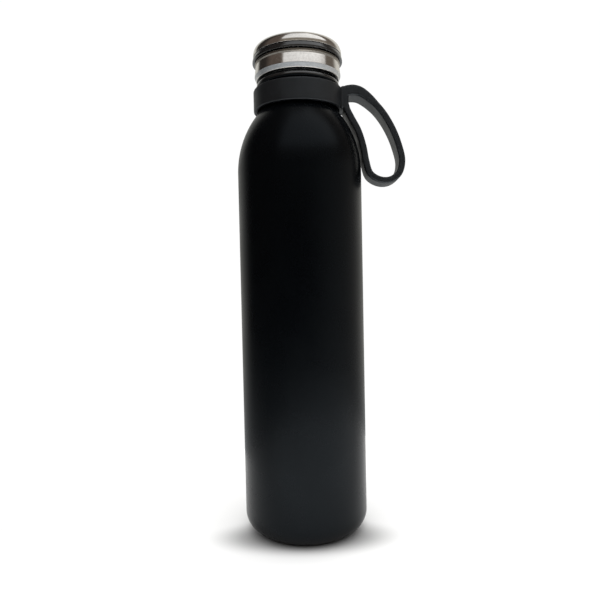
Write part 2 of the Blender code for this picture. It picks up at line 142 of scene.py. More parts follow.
PLUG_FOOT = 269.4
PLUG_CEILING = 281.4
PLUG_CUP_SHEET = 0.4
GASKET_INNER_RADIUS = 19.35

# Strap
STRAP_WIDTH = 14.6
COLLAR_INNER_RADIUS = 24.0
COLLAR_OUTER_RADIUS = 26.33
COLLAR_TOP = 259.85
TAB_START = 24.8         # distance from the axis
TAB_RISE = 0.2           # how far the tab's foot stands above the collar's
TAB_FILLET = 0.7
LOOP_FILLET = 0.9
LOOP_THICKNESS = 3.8
LOOP_ROOT_THICKNESS = 6.2
LOOP_ROOT_START = 4.5    # along the loop
LOOP_ROOT_LENGTH = 16.0
LOOP_LINE = [(28.0, 258.0), (32.45, 258.3), (37.1, 256.9), (43.2, 252.0), (49.7, 244.4), (55.0, 235.0),
             (58.5, 225.4), (60.1, 217.2), (58.4, 210.1), (53.3, 206.2), (47.0, 206.3), (41.4, 210.0),
             (39.1, 217.2), (37.5, 226.0), (34.9, 234.6), (31.1, 242.0), (28.6, 247.0), (27.8, 250.0)]
LOOP_STEPS = 10
LOOP_BEND_START = (-2.1, 0.0, 2.1)   # from the tab's lower outer corner
LOOP_BEND = (23.3, 0.0, -23.3)       # and from there, the stretch in which both legs bend
STRAP_VOXEL = 0.3
STRAP_SMOOTHING = 8      # rounds

# Painted contact shadow in the floor's colour, in shares of the bottle's radius
SHADE_REACH = (1.62, 0.71)      # half its width, and half its depth
SHADE_LEFT = 0.04               # how far its middle lies to the left of the bottle's
SHADE_FORWARD = 0.47            # and how far in front of it
SHADE_DEPTH = 0.27              # the floor's share of colour in its middle
SHADE_FADE = (0.38, 1.02)       # where it starts and ends to fade

# Painted light on the floor: its colour is paler in front and to the right, which lifts the tones low on the
# bottle. Lengths in metres.
FLOOR_RADIUS = 0.27
FLOOR_MIDDLE = (0.07, -0.09, 0.0)
FLOOR_BACK, FLOOR_FRONT = 0.63, 0.94
FLOOR_FADE = (0.03, 0.11)       # distances in front of the axis
FLOOR_SLANT = 0.25              # how far a step to the right counts as a step to the front

# Studio surround: directions in degrees, azimuth from the front towards +X. Later patches cover earlier.
ROOM = (0.024, 0.021, 0.019)
WALL_PATCHES = [((-88.0, -38.0), (0.0, 80.0), 14.0, (0.088, 0.070, 0.060)),
                ((-42.0, 86.0), (12.0, 60.0), 8.0, (0.200, 0.180, 0.155)),
                ((80.0, 128.0), (0.0, 80.0), 8.0, (0.125, 0.108, 0.092))]
LOW_CORNERS = [((2.0, 74.0), (26.0, 2.0), (0.48, 0.46, 0.43)),
               ((-108.0, -130.0), (24.0, 12.0), (0.44, 0.44, 0.42))]
BACK_WALLS = [((-124.0, -142.0), (0.56, 0.56, 0.53)), ((112.0, 136.0), (0.62, 0.61, 0.57))]
OVERHEAD = ((66.0, 84.0), (0.26, 0.25, 0.24))
TABLE = ((-5.0, -19.0), (0.50, 0.52, 0.53))
WINDOW = ((-40.0, 85.0), (31.0, 79.0), 2.5)
WINDOW_GLOW = ((0.73, 0.74, 0.75), (1.02, 1.03, 1.04))   # at its left and its right side
BACKDROP = (1.02, 1.02, 1.02)

CEILING_STRENGTH = 5.2
CEILING_SPREAD = 125.0   # degrees

# Camera: place in metres, lens and sensor in millimetres, angles in radians
CAMERA_PLACE = (0.0, -0.32988, 0.14864)
CAMERA_LENS = 32.902
CAMERA_SENSOR = 36.0
CAMERA_NEAR = 0.01
CAMERA_PITCH, CAMERA_ROLL, CAMERA_YAW = 0.037, -0.021, -0.004


def top(node):
    """A node's greatest height in millimetres."""
    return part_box(node)[1].z / MM


def bottom(node):
    """A node's least height in millimetres."""
    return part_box(node)[0].z / MM


def reach(node):
    """A turned node's outer radius in millimetres."""
    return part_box(node)[1].x / MM


# ---------------------------------------------------------------------------------------------------
# Outlines: lists of (radius, height) in millimetres
# ---------------------------------------------------------------------------------------------------

def arc(centre, radii, start, end, steps):
    """Points on an ellipse's arc; angles in degrees."""
    angles = np.radians(np.linspace(start, end, steps + 1))
    return [(centre[0] + radii[0] * cos(a), centre[1] + radii[1] * sin(a)) for a in angles]


def rounded(corners, closed=True):
    """An outline through the corners (radius, height, fillet), each rounded by its own fillet."""
    points = []
    count = len(corners)
    for index, (x, y, fillet) in enumerate(corners):
        here = Vector((x, y))
        if fillet == 0 or (not closed and index in (0, count - 1)):
            points.append((x, y))
            continue
        before = Vector(corners[index - 1][:2]) - here
        after = Vector(corners[(index + 1) % count][:2]) - here
        turn = before.angle(after)
        cut = min(fillet / tan(turn / 2), 0.49 * before.length, 0.49 * after.length)
        radius = cut * tan(turn / 2)
        start = here + before.normalized() * cut
        end = here + after.normalized() * cut
        centre = here + (before.normalized() + after.normalized()).normalized() * hypot(cut, radius)
        steps = max(2, round((180 - degrees(turn)) / ARC_STEP))
        first = atan2(start.y - centre.y, start.x - centre.x)
        last = atan2(end.y - centre.y, end.x - centre.x)
        sweep = (last - first + pi) % (2 * pi) - pi
        for step in range(steps + 1):
            angle = first + sweep * step / steps
            points.append((centre.x + radius * cos(angle), centre.y + radius * sin(angle)))
    return points


def supported(points, closed=True, longest=6.0):
    """Adds points near the ends of an outline's straight runs, so that they shade flat."""
    made = []
    pairs = list(zip(points, points[1:] + points[:1]))
    for index, (a, b) in enumerate(pairs):
        made.append(a)
        if not closed and index == len(pairs) - 1:
            break
        length = hypot(b[0] - a[0], b[1] - a[1])
        if length < 0.6:
            continue
        margin = min(FLAT_MARGIN, length / 5) / length
        pieces = max(1, round(length / longest))
        shares = [margin] + [margin + (1 - 2 * margin) * k / pieces for k in range(1, pieces)]
        shares.append(1 - margin)
        made += [(a[0] + (b[0] - a[0]) * t, a[1] + (b[1] - a[1]) * t) for t in shares]
    return made


# ---------------------------------------------------------------------------------------------------
# Meshes
# ---------------------------------------------------------------------------------------------------

def mesh_object(name, vertices, faces):
    """A smooth-shaded object from vertices in millimetres, with its faces pointing out."""
    mesh = bpy.data.meshes.new(name)
    mesh.from_pydata((np.asarray(vertices, float) * MM).tolist(), [], faces)
    bm = bmesh.new()
    bm.from_mesh(mesh)
    bmesh.ops.recalc_face_normals(bm, faces=bm.faces)
    bm.to_mesh(mesh)
    bm.free()
    mesh.shade_smooth()
    made = bpy.data.objects.new(name, mesh)
    bpy.context.scene.collection.objects.link(made)
    return made


def lathe(name, outline, swell=None):
    """A solid of revolution about Z. swell(angles, radius, height) moves a ring's points outwards."""
    angles = 2 * pi * np.arange(AROUND) / AROUND
    vertices, rings = [], []
    for radius, height in outline:
        if radius < 1e-6:
            rings.append([len(vertices)])
            vertices.append((0.0, 0.0, height))
            continue
        rings.append(list(range(len(vertices), len(vertices) + AROUND)))
        radii = np.full(AROUND, radius)
        if swell is not None:
            radii = radii + swell(angles, radius, height)
        vertices += list(zip(radii * np.cos(angles), radii * np.sin(angles), np.full(AROUND, height)))
    faces = []
    for lower, upper in zip(rings, rings[1:] + rings[:1]):
        if len(lower) == 1 and len(upper) == 1:
            continue
        for k in range(AROUND):
            after = (k + 1) % AROUND
            if len(lower) == 1:
                faces.append((lower[0], upper[after], upper[k]))
            elif len(upper) == 1:
                faces.append((lower[k], lower[after], upper[0]))
            else:
                faces.append((lower[k], lower[after], upper[after], upper[k]))
    return mesh_object(name, vertices, faces)


def thread_height(angles, height, thread):
    """How far a two-start thread stands out of its root at each angle of one ring, in millimetres."""
    out = np.zeros_like(angles)
    for start in range(THREAD_STARTS):
        turn = (angles - thread["phase"] - pi / THREAD_FACETS) / (2 * pi) - start / THREAD_STARTS
        turn = turn % 1.0
        away = np.abs(height - thread["bottom"] - THREAD_LEAD * turn)
        ramp = (thread["foot"] / 2 - away) / (thread["foot"] / 2 - thread["top"] / 2)
        ramp = np.clip(ramp, 0.0, 1.0)
        from_end = np.minimum(turn, thread["turns"] - turn)
        run_out = np.clip(from_end / (THREAD_RUN_OUT * thread["turns"]), 0.0, 1.0)
        out = np.maximum(out, ramp * ramp * (3 - 2 * ramp) * run_out)
    return out * (thread["crest"] - thread["root"])


def show(piece, body, slot_name, finish, *nodes):
    """Gives a piece its material and body, and lets it stand for the CAD nodes named; slot_name is not used.
    """
    piece.data.materials.clear()
    piece.data.materials.append(finish)
    if "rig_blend" not in piece:
        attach(piece, body)
    if nodes:
        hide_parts(*nodes)
    return piece


# ---------------------------------------------------------------------------------------------------
# Materials
# ---------------------------------------------------------------------------------------------------

class Finish:
    """A Principled material with short helpers for its procedural nodes."""

    def __init__(self, name, **sockets):
        self.material = bpy.data.materials.new(name)
        self.material.use_nodes = True
        self.tree = self.material.node_tree
        self.shader = self.tree.nodes["Principled BSDF"]
        self.bump = None
        for socket, value in sockets.items():
            self.shader.inputs[socket.replace("_", " ")].default_value = value
        self.place = self.tree.nodes.new("ShaderNodeTexCoord").outputs["Object"]

    def node(self, kind, settings=(), **inputs):
        """A node with its attributes set and its inputs filled with values or linked to sockets."""
        made = self.tree.nodes.new(kind)
        for key, value in dict(settings).items():
            setattr(made, key, value)
        for key, value in inputs.items():
            socket = made.inputs[int(key[1:])] if key[0] == "i" and key[1:].isdigit() else \
                made.inputs[key.replace("_", " ")]
            if isinstance(value, bpy.types.NodeSocket):
                self.tree.links.new(value, socket)
            else:
                socket.default_value = value
        return made

    def maths(self, operation, *values):
        inputs = {f"i{index}": value for index, value in enumerate(values)}
        return self.node("ShaderNodeMath", {"operation": operation}, **inputs).outputs[0]

    def noise(self, scale, detail=2.0, roughness=0.5, at=None):
        vector = self.place if at is None else at
        made = self.node("ShaderNodeTexNoise", Vector=vector, Scale=scale, Detail=detail,
                         Roughness=roughness)
        return made.outputs["Fac"]

    def cells(self, scale, feature="F1"):
        made = self.node("ShaderNodeTexVoronoi", {"feature": feature}, Vector=self.place, Scale=scale)
        return made.outputs["Distance"]

    def spread(self, value, low, high, from_low=0.3, from_high=0.7):
        """Maps a value smoothly from one range to another."""
        made = self.node("ShaderNodeMapRange", {"interpolation_type": "SMOOTHSTEP"}, i0=value,
                         i1=from_low, i2=from_high, i3=low, i4=high)
        return made.outputs[0]

    def turned_place(self, around, along, outward):
        """Coordinates that run round the axis, up it and out from it, each with its own scale."""
        parts = self.node("ShaderNodeSeparateXYZ", i0=self.place).outputs
        angle = self.maths("ARCTAN2", parts[1], parts[0])
        flat = self.node("ShaderNodeCombineXYZ", i0=parts[0], i1=parts[1]).outputs[0]
        radius = self.node("ShaderNodeVectorMath", {"operation": "LENGTH"}, i0=flat).outputs["Value"]
        return self.node("ShaderNodeCombineXYZ", i0=self.maths("MULTIPLY", angle, around),
                         i1=self.maths("MULTIPLY", parts[2], along),
                         i2=self.maths("MULTIPLY", radius, outward)).outputs[0]

    def height(self):
        return self.node("ShaderNodeSeparateXYZ", i0=self.place).outputs[2]

    def tint_shine(self, colour):
        """Tints the reflection seen straight on, as a coloured topcoat does."""
        self.shader.inputs["Specular Tint"].default_value = (*colour, 1.0)

    def colours(self, value, low, high):
        made = self.node("ShaderNodeMix", {"data_type": "RGBA"}, i0=value)
        made.inputs[6].default_value = (*low, 1.0)
        made.inputs[7].default_value = (*high, 1.0)
        self.tree.links.new(made.outputs[2], self.shader.inputs["Base Color"])

    def rough(self, value):
        self.tree.links.new(value, self.shader.inputs["Roughness"])

    def raise_by(self, value, distance, strength=1.0):
        """Adds a bump of that height in metres on top of those before it."""
        made = self.node("ShaderNodeBump", Height=value, Distance=distance, Strength=strength)
        if self.bump is not None:
            self.tree.links.new(self.bump, made.inputs["Normal"])
        self.bump = made.outputs["Normal"]
        self.tree.links.new(self.bump, self.shader.inputs["Normal"])


def powder_coat():
    """Matte black powder coat: a fine pebbled grain, soft smudges and a faint scuff at the foot."""
    made = Finish("powder_coat_matte_black", Specular_IOR_Level=0.15)
    made.tint_shine((0.80, 0.91, 1.0))
    grain = made.noise(3200.0, 3.0, 0.6)
    pebbles = made.cells(2100.0, "SMOOTH_F1")
    smudges = made.noise(38.0, 3.0, 0.55)
    foot = made.spread(made.height(), 1.0, 0.0, 0.0004, 0.0045)
    scuffs = made.maths("MULTIPLY", foot, made.spread(made.noise(900.0, 4.0, 0.7), 0.0, 1.0, 0.52, 0.66))
    shade = made.maths("MULTIPLY_ADD", grain, 0.35, made.maths("MULTIPLY", scuffs, 0.6))
    made.colours(shade, (0.0002, 0.0004, 0.0007), (0.0022, 0.0026, 0.0032))
    made.rough(made.maths("ADD", made.spread(smudges, 0.25, 0.31), made.maths("MULTIPLY", scuffs, 0.12)))
    made.raise_by(pebbles, 0.000035, 0.35)
    made.raise_by(grain, 0.00003, 0.35)
    return made.material


def steel(name, colour, roughness, lines=0.5, waves=0.4):
    """Turned and polished stainless steel: fine lines round the axis and a slight waviness."""
    made = Finish(name, Metallic=1.0)
    tracks = made.noise(1.0, 3.0, 0.65, made.turned_place(1.6, 5200.0, 5200.0))
    broad = made.noise(1.0, 2.0, 0.5, made.turned_place(3.0, 900.0, 900.0))
    handled = made.noise(120.0, 4.0, 0.6)
    wave = made.noise(420.0, 2.0, 0.5)
    low = tuple(0.84 * c for c in colour)
    mottle = made.spread(made.noise(760.0, 3.0, 0.6), 0.0, 0.6, 0.40, 0.66)
    made.colours(made.maths("MULTIPLY_ADD", made.spread(tracks, 0.0, 1.0), 0.4, mottle), colour, low)
    base = made.spread(broad, roughness - 0.02, roughness + 0.03)
    made.rough(made.maths("ADD", base, made.spread(handled, -0.01, 0.05, 0.45, 0.7)))
    made.raise_by(wave, 0.00002, waves)
    made.raise_by(tracks, 0.000006, lines)
    return made.material


def spun_disc(name):
    """The base cover: steel with coarse turning marks that run in circles."""
    made = Finish(name, Metallic=1.0)
    rings = made.noise(1.0, 2.0, 0.6, made.turned_place(0.6, 400.0, 2600.0))
    worn = made.noise(260.0, 5.0, 0.65)
    made.colours(made.spread(rings, 0.0, 1.0), (0.42, 0.41, 0.39), (0.60, 0.59, 0.57))
    made.rough(made.maths("ADD", made.spread(rings, 0.26, 0.36), made.spread(worn, 0.0, 0.16, 0.5, 0.7)))
    made.raise_by(rings, 0.00003, 0.6)
    return made.material


def silicone(name):
    """Matte black silicone: a fine moulded grain over a coarser one, with a little dust in it."""
    made = Finish(name, Specular_IOR_Level=0.65)
    made.tint_shine((0.88, 0.95, 1.0))
    grain = made.noise(2600.0, 3.0, 0.6)
    soft = made.noise(160.0, 3.0, 0.5)
    dust = made.spread(made.cells(1500.0), 1.0, 0.0, 0.02, 0.12)
    dusty = made.maths("MULTIPLY", dust, made.spread(made.noise(90.0, 2.0, 0.5), 0.0, 0.7, 0.5, 0.7))
    made.colours(made.maths("MULTIPLY_ADD", soft, 0.4, dusty), (0.0022, 0.0026, 0.0034),
                 (0.012, 0.012, 0.013))
    made.rough(made.spread(soft, 0.40, 0.48))
    made.raise_by(made.noise(620.0, 3.0, 0.55), 0.00009, 0.35)
    made.raise_by(grain, 0.00004, 0.5)
    return made.material


def rubber(name, roughness=0.14):
    """Shiny black rubber for the grip ring, and for the glossy paint on the neck's bead."""
    made = Finish(name, Specular_IOR_Level=1.0, Coat_Weight=0.6, Coat_Roughness=roughness)
    fine = made.noise(2400.0, 3.0, 0.6)
    soft = made.noise(220.0, 2.0, 0.5)
    made.colours(fine, (0.002, 0.0023, 0.0027), (0.006, 0.0064, 0.007))
    made.rough(made.spread(soft, roughness, roughness + 0.06))
    made.raise_by(fine, 0.00002, 0.25)
    return made.material


def plastic(name):
    """Black moulded plastic with a fine spark-eroded texture."""
    made = Finish(name, Specular_IOR_Level=0.45)
    fine = made.cells(3000.0, "SMOOTH_F1")
    flow = made.noise(140.0, 3.0, 0.5)
    made.colours(flow, (0.0075, 0.0075, 0.008), (0.014, 0.014, 0.0145))
    made.rough(made.spread(flow, 0.36, 0.46))
    made.raise_by(fine, 0.00002, 0.4)
    return made.material


def gasket_silicone():
    """Milky food-grade silicone."""
    made = Finish("gasket_silicone_milky", Subsurface_Weight=0.15, Subsurface_Scale=0.001)
    soft = made.noise(300.0, 3.0, 0.5)
    fine = made.noise(2500.0, 2.0, 0.5)
    made.colours(soft, (0.70, 0.70, 0.66), (0.80, 0.80, 0.77))
    made.rough(made.spread(soft, 0.36, 0.46))
    made.raise_by(fine, 0.00002, 0.3)
    return made.material


def hidden_finishes():
    """Materials for the sealed pieces that keep their CAD shape."""
    foam = Finish("foam_closed_cell")
    cells = foam.cells(1400.0)
    foam.colours(cells, (0.62, 0.58, 0.48), (0.80, 0.77, 0.68))
    foam.rough(foam.spread(cells, 0.80, 0.95))
    foam.raise_by(cells, 0.0002, 0.6)

    glass = Finish("solder_glass_dark")
    flow = glass.noise(700.0, 3.0, 0.6)
    glass.colours(flow, (0.03, 0.05, 0.045), (0.08, 0.11, 0.10))
    glass.rough(glass.spread(flow, 0.08, 0.20))
    glass.raise_by(flow, 0.00005, 0.4)

    alloy = Finish("getter_sintered_alloy", Metallic=1.0)
    grit = alloy.noise(3500.0, 4.0, 0.7)
    alloy.colours(grit, (0.16, 0.15, 0.14), (0.33, 0.32, 0.30))
    alloy.rough(alloy.spread(grit, 0.50, 0.75))
    alloy.raise_by(grit, 0.00008, 0.8)
    return {"lid_foam": foam.material, "vacuum_port_seal": glass.material, "getter": alloy.material}


def floor_finish(radius):
    """The pale floor, with a soft painted contact shadow round the foot of a bottle of that radius in
    metres, and painted light that makes it paler in front and to the right.
    """
    made = Finish("pale_floor_painted_shadow_and_light", Specular_IOR_Level=0.2)
    tone = made.noise(3.0, 2.0, 0.5)
    parts = made.node("ShaderNodeSeparateXYZ", i0=made.place).outputs
    across, depth = [
        made.maths("DIVIDE", made.maths("ADD", parts[axis], shift * radius), SHADE_REACH[axis] * radius)
        for axis, shift in enumerate((SHADE_LEFT, SHADE_FORWARD))]
    away = made.maths("SQRT", made.maths("ADD", made.maths("MULTIPLY", across, across),
                                         made.maths("MULTIPLY", depth, depth)))
    # Painted contact shadow: the floor's colour darkens towards the middle of this ellipse
    shade = made.spread(away, SHADE_DEPTH, 1.0, *SHADE_FADE)
    # Painted light: the floor's colour grows paler in front and to the right
    forward = made.maths("SUBTRACT", made.maths("MULTIPLY", parts[0], FLOOR_SLANT), parts[1])
    painted_light_front = made.spread(forward, FLOOR_BACK / FLOOR_FRONT, 1.0, *FLOOR_FADE)
    # The painted light, times a faint random tone
    grain = made.maths("MULTIPLY", painted_light_front, made.spread(tone, 0.97, 1.0))
    made.colours(made.maths("MULTIPLY", shade, grain), (0.0, 0.0, 0.0), (FLOOR_FRONT,) * 3)
    made.rough(made.spread(tone, 0.85, 0.95))
    return made.material


# ---------------------------------------------------------------------------------------------------
# Pieces
# ---------------------------------------------------------------------------------------------------

def shoulder_arc(offset, end_radius, steps):
    """The shoulder's outline, offset inwards from the shell's face, up to end_radius."""
    centre = reach("outer_shell") - SHOULDER_CURVE
    radius = SHOULDER_CURVE - offset
    end = degrees(acos((end_radius - centre) / radius))
    return arc((centre, SHOULDER_START), (radius, radius), 0, end, steps)


def as_corners(points):
    """An outline's points as corners without a fillet."""
    return [(x, y, 0) for x, y in points]


def make_shell(finish, bead_finish):
    """The painted shell: base corner, wall, shoulder, neck and the glossy bead that keeps the collar on."""
    body = reach("outer_shell")
    crown = top("outer_shell")
    mouth = FINISH_RADIUS + MOUTH_GAP
    inner_neck = NECK_RADIUS - WALL
    inner_corner = BASE_CORNER - WALL
    corner = (body - BASE_CORNER, BASE_CORNER)
    outside = [(FOOT_INNER_RADIUS, 0.0, CUT_EDGE)]
    outside += as_corners(arc(corner, (BASE_CORNER, BASE_CORNER), -90, 0, 24))
    outside += as_corners(shoulder_arc(0.0, SHOULDER_END_RADIUS, 48))
    outside += [(NECK_RADIUS, NECK_START, NECK_FILLET), (NECK_RADIUS, BEAD_START + 0.25, 0.4)]
    outside += as_corners(arc(BEAD_CENTRE, BEAD_SIZE, *BEAD_ARC, 16))
    outside += [(CROWN_RADIUS, crown, 0.5), (mouth, crown, CUT_EDGE)]
    inside = [(mouth, crown - WALL, CUT_EDGE), (inner_neck, crown - WALL, 0.3)]
    inside += [(inner_neck, NECK_START, NECK_FILLET)]
    inside += as_corners(shoulder_arc(WALL, SHOULDER_END_RADIUS - WALL, 30)[::-1])
    inside += as_corners(arc(corner, (inner_corner, inner_corner), 0, -90, 16))
    inside += [(FOOT_INNER_RADIUS, WALL, CUT_EDGE)]
    shell = lathe("bottle_shell", supported(rounded(outside + inside)))
    show(shell, "bottle", "powder_coat", finish, "outer_shell", "outer_base")
    shell.data.materials.append(bead_finish)
    for face in shell.data.polygons:
        if face.center.z / MM > BEAD_GLOSS_START:
            face.material_index = 1
    return shell


def make_base(finish):
    """The flat steel disc under the base, with a shallow pressed ring."""
    radius = reach("base_cover")
    high = top("base_cover")
    ring_inner, ring_outer = DISC_RING
    outline = [(0.0, high, 0), (radius, high, 0.1), (radius, 0.0, 0.15), (ring_outer, 0.0, DISC_FILLET),
               (ring_outer - DISC_RING_SLOPE, DISC_RING_DEPTH, DISC_FILLET),
               (ring_inner + DISC_RING_SLOPE, DISC_RING_DEPTH, DISC_FILLET),
               (ring_inner, 0.0, DISC_FILLET), (0.0, 0.0, 0)]
    disc = lathe("base_disc", supported(rounded(outline, closed=False), closed=False))
    return show(disc, "bottle", "base_steel", finish, "base_cover")


def make_liner(finish):
    """The steel liner, with the thread rolled into its neck and a rolled lip."""
    outer = reach("outer_shell") - LINER_INSET
    floor = bottom("inner_floor")
    lip = top("inner_vessel")
    corner = (outer - LINER_CORNER, floor + LINER_CORNER)
    inner_corner = LINER_CORNER - WALL
    threaded = np.arange(lip - LIP_CLEAR, NECK_THREADED_FROM, -THREAD_RING_STEP)
    outline = [(0.0, floor)]
    outline += arc(corner, (LINER_CORNER, LINER_CORNER), -90, 0, 14)
    outline += shoulder_arc(LINER_INSET, FINISH_RADIUS + 0.5, 36)
    outline += [(FINISH_RADIUS, FINISH_START + 0.6)]
    outline += [(FINISH_RADIUS, z) for z in threaded[::-1]]
    outline += arc(((FINISH_RADIUS + MOUTH_RADIUS) / 2, lip - LIP_ROLL), (LIP_ROLL, LIP_ROLL), 0, 180, 8)
    outline += [(MOUTH_RADIUS, z) for z in threaded]
    outline += [(MOUTH_RADIUS, FINISH_START + 0.4)]
    outline += shoulder_arc(LINER_INSET + WALL, FINISH_RADIUS, 36)[::-1]
    outline += arc(corner, (inner_corner, inner_corner), 0, -90, 14)
    outline += [(0.0, floor + WALL)]

    def swell(angles, radius, height):
        near_thread = NECK_THREAD["bottom"] - 2 <= height <= lip - LIP_CLEAR + 0.1
        if not near_thread or radius < MOUTH_RADIUS - 0.1:
            return np.zeros_like(angles)
        return thread_height(angles, height, NECK_THREAD)

    liner = lathe("liner", supported(outline, closed=False), swell)
    return show(liner, "bottle", "inner_steel", finish, "inner_vessel", "inner_floor")


def make_band(finish, bevel_painted_reflection_finish, shaded_lip_finish):
    """The lid's steel skirt band: slightly conical, with a satin bevel below, tinted blue-grey and darker as
    a painted reflection, and a lip on top painted darker as shade.
    """
    low = bottom("lid_skirt_band")
    high = top("lid_skirt_band")
    crease = low + BAND_BEVEL
    waist_radius, waist = BAND_WAIST
    foot_inner, foot_outer = BAND_FOOT_RADII
    crease_inner, crease_outer = BAND_CREASE_RADII
    lip_low_inner, lip_high_inner = BAND_LIP_INNER_RADII
    outline = [(foot_inner, low, CUT_EDGE), (foot_outer, low, 0.5), (crease_outer, crease, CUT_EDGE),
               (waist_radius, waist, 0.3), (BAND_LIP_RADIUS, BAND_LIP_START, 0.3),
               (BAND_LIP_RADIUS, high, 0.28), (lip_high_inner, high, 0.1),
               (lip_low_inner, BAND_LIP_START - 0.05, 0.2), (waist_radius - WALL, waist, 0.3),
               (crease_inner, crease, 0.3), (foot_inner, low + 0.6, 0.1)]
    band = lathe("lid_band", supported(rounded(outline)))
    show(band, "lid", "lid_steel", finish, "lid_skirt_band")
    band.data.materials.append(bevel_painted_reflection_finish)
    band.data.materials.append(shaded_lip_finish)
    for face in band.data.polygons:
        radius = hypot(face.center.x, face.center.y) / MM
        height = face.center.z / MM
        # Bevel faces: brushed steel whose blue-grey, darker colour is a painted reflection
        if low + 0.4 < height < crease and radius > foot_inner + 0.1:
            face.material_index = 1
        # Lip faces: steel painted darker as shade
        elif height > waist + 0.05:
            face.material_index = 2
    return band


def make_cap(finish):
    """The lid's steel top: a round rim, a turned-down edge and a shallow dish."""
    radius = reach("lid_top_cap")
    low = bottom("lid_top_cap")
    high = top("lid_top_cap")
    size = (radius - CAP_RIM[0], high - CAP_RIM[1])
    dish = high - CAP_DISH_DEPTH
    outline = [(0.0, dish, 0), (CAP_DISH_RADIUS, dish, 0.8), (CAP_BROW[0], high - CAP_BROW[1], 0.5)]
    outline += as_corners(arc(CAP_RIM, size, 90, 0, 22))
    outline += [(radius, low, 0.1), (radius - WALL, low, 0.1)]
    outline += as_corners(arc(CAP_RIM, (size[0] - WALL, size[1] - WALL), 0, 90, 14))
    outline += [(CAP_INNER_DISH_RADIUS, dish - WALL, 0.5), (0.0, dish - WALL, 0)]
    cap = lathe("lid_cap", supported(rounded(outline, closed=False), closed=False))
    return show(cap, "lid", "lid_steel", finish, "lid_top_cap")


def make_ring(finish):
    """The rubber grip ring in the groove: upright below and well rounded above."""
    low, high = bottom("lid_grip_ring"), top("lid_grip_ring")
    outer = reach("lid_grip_ring")
    outline = [(RING_INNER_RADIUS, low, 0.2), (outer, low, 0.12), (outer, low + RING_STRAIGHT, 1.5),
               (outer - RING_TAPER, high, 0.35), (RING_INNER_RADIUS, high, 0.2)]
    ring = lathe("lid_ring", supported(rounded(outline)))
    return show(ring, "lid", "grip_rubber", finish, "lid_grip_ring")


def make_core(finish):
    """The lid's plastic core: threaded skirt, flange, top plate and hollow plug."""
    high = top("lid_core")
    low = bottom("lid_core")
    wall = LID_THREAD["root"]
    threaded_from = low + 0.3
    flange = CAP_RIM[0] + CORE_RIM_SIZE[0]
    plug_inner, plug_outer = PLUG_RADII
    outline = [(0.0, high, 0)] + as_corners(arc(CAP_RIM, CORE_RIM_SIZE, 90, 0, 12))
    outline += [(flange, CORE_FLANGE, 0.15), (CORE_RADIUS, CORE_FLANGE, 0.2), (CORE_RADIUS, low, 0.2)]
    outline += [(wall, low, 0.15)]
    outline += [(wall, z, 0) for z in np.arange(threaded_from, LID_THREADED_TO, THREAD_RING_STEP)]
    outline += [(wall, CORE_CEILING, 0.2), (plug_outer, CORE_CEILING, 0.2), (plug_outer, PLUG_FOOT, 0.2),
                (plug_inner, PLUG_FOOT, 0.2), (plug_inner, PLUG_CEILING, 0.2), (0.0, PLUG_CEILING, 0)]

    def swell(angles, radius, height):
        if abs(radius - wall) > 0.05 or height < threaded_from - 0.01:
            return np.zeros_like(angles)
        return thread_height(angles, height, LID_THREAD)

    core = lathe("lid_core_moulding", supported(rounded(outline, closed=False), closed=False), swell)
    return show(core, "lid", "core_plastic", finish, "lid_core")


def make_plug_cup(finish):
    """The steel cup over the lid's plug."""
    radius = reach("lid_plug_cup")
    low = bottom("lid_plug_cup")
    high = top("lid_plug_cup")
    inner = radius - PLUG_CUP_SHEET
    outline = [(0.0, low, 0), (radius, low, 0.9), (radius, high, CUT_EDGE), (inner, high, CUT_EDGE),
               (inner, low + PLUG_CUP_SHEET, 0.5), (0.0, low + PLUG_CUP_SHEET + 0.25, 0)]
    cup = lathe("lid_plug_cup_skin", supported(rounded(outline, closed=False), closed=False))
    return show(cup, "lid", "inner_steel", finish, "lid_plug_cup")


def make_gasket(finish):
    """The silicone ring that the lip presses on."""
    low, high = bottom("lid_gasket"), top("lid_gasket")
    outer = reach("lid_gasket")
    outline = [(GASKET_INNER_RADIUS, high, 0.15), (outer, high, 0.15), (outer, low, 0.45),
               (GASKET_INNER_RADIUS, low, 0.45)]
    gasket = lathe("lid_gasket_ring", supported(rounded(outline)))
    return show(gasket, "seal", "gasket_silicone", finish, "lid_gasket")


def smooth_line(points, steps):
    """A Catmull-Rom curve through the points, with steps pieces between each two."""
    vectors = [Vector(point) for point in points]
    vectors = [2 * vectors[0] - vectors[1]] + vectors + [2 * vectors[-1] - vectors[-2]]
    line = []
    for a, b, c, d in zip(vectors, vectors[1:], vectors[2:], vectors[3:]):
        for step in range(steps):
            t = step / steps
            line.append(0.5 * (2 * b + (c - a) * t + (2 * a - 5 * b + 4 * c - d) * t * t
                               + (3 * b - a - 3 * c + d) * t ** 3))
    return line + [vectors[-2]]


def band_section(thickness, width, fillet):
    """A rounded rectangle as (across, along Y) points."""
    corners = [(thickness / 2, width / 2, fillet), (-thickness / 2, width / 2, fillet),
               (-thickness / 2, -width / 2, fillet), (thickness / 2, -width / 2, fillet)]
    return rounded(corners)


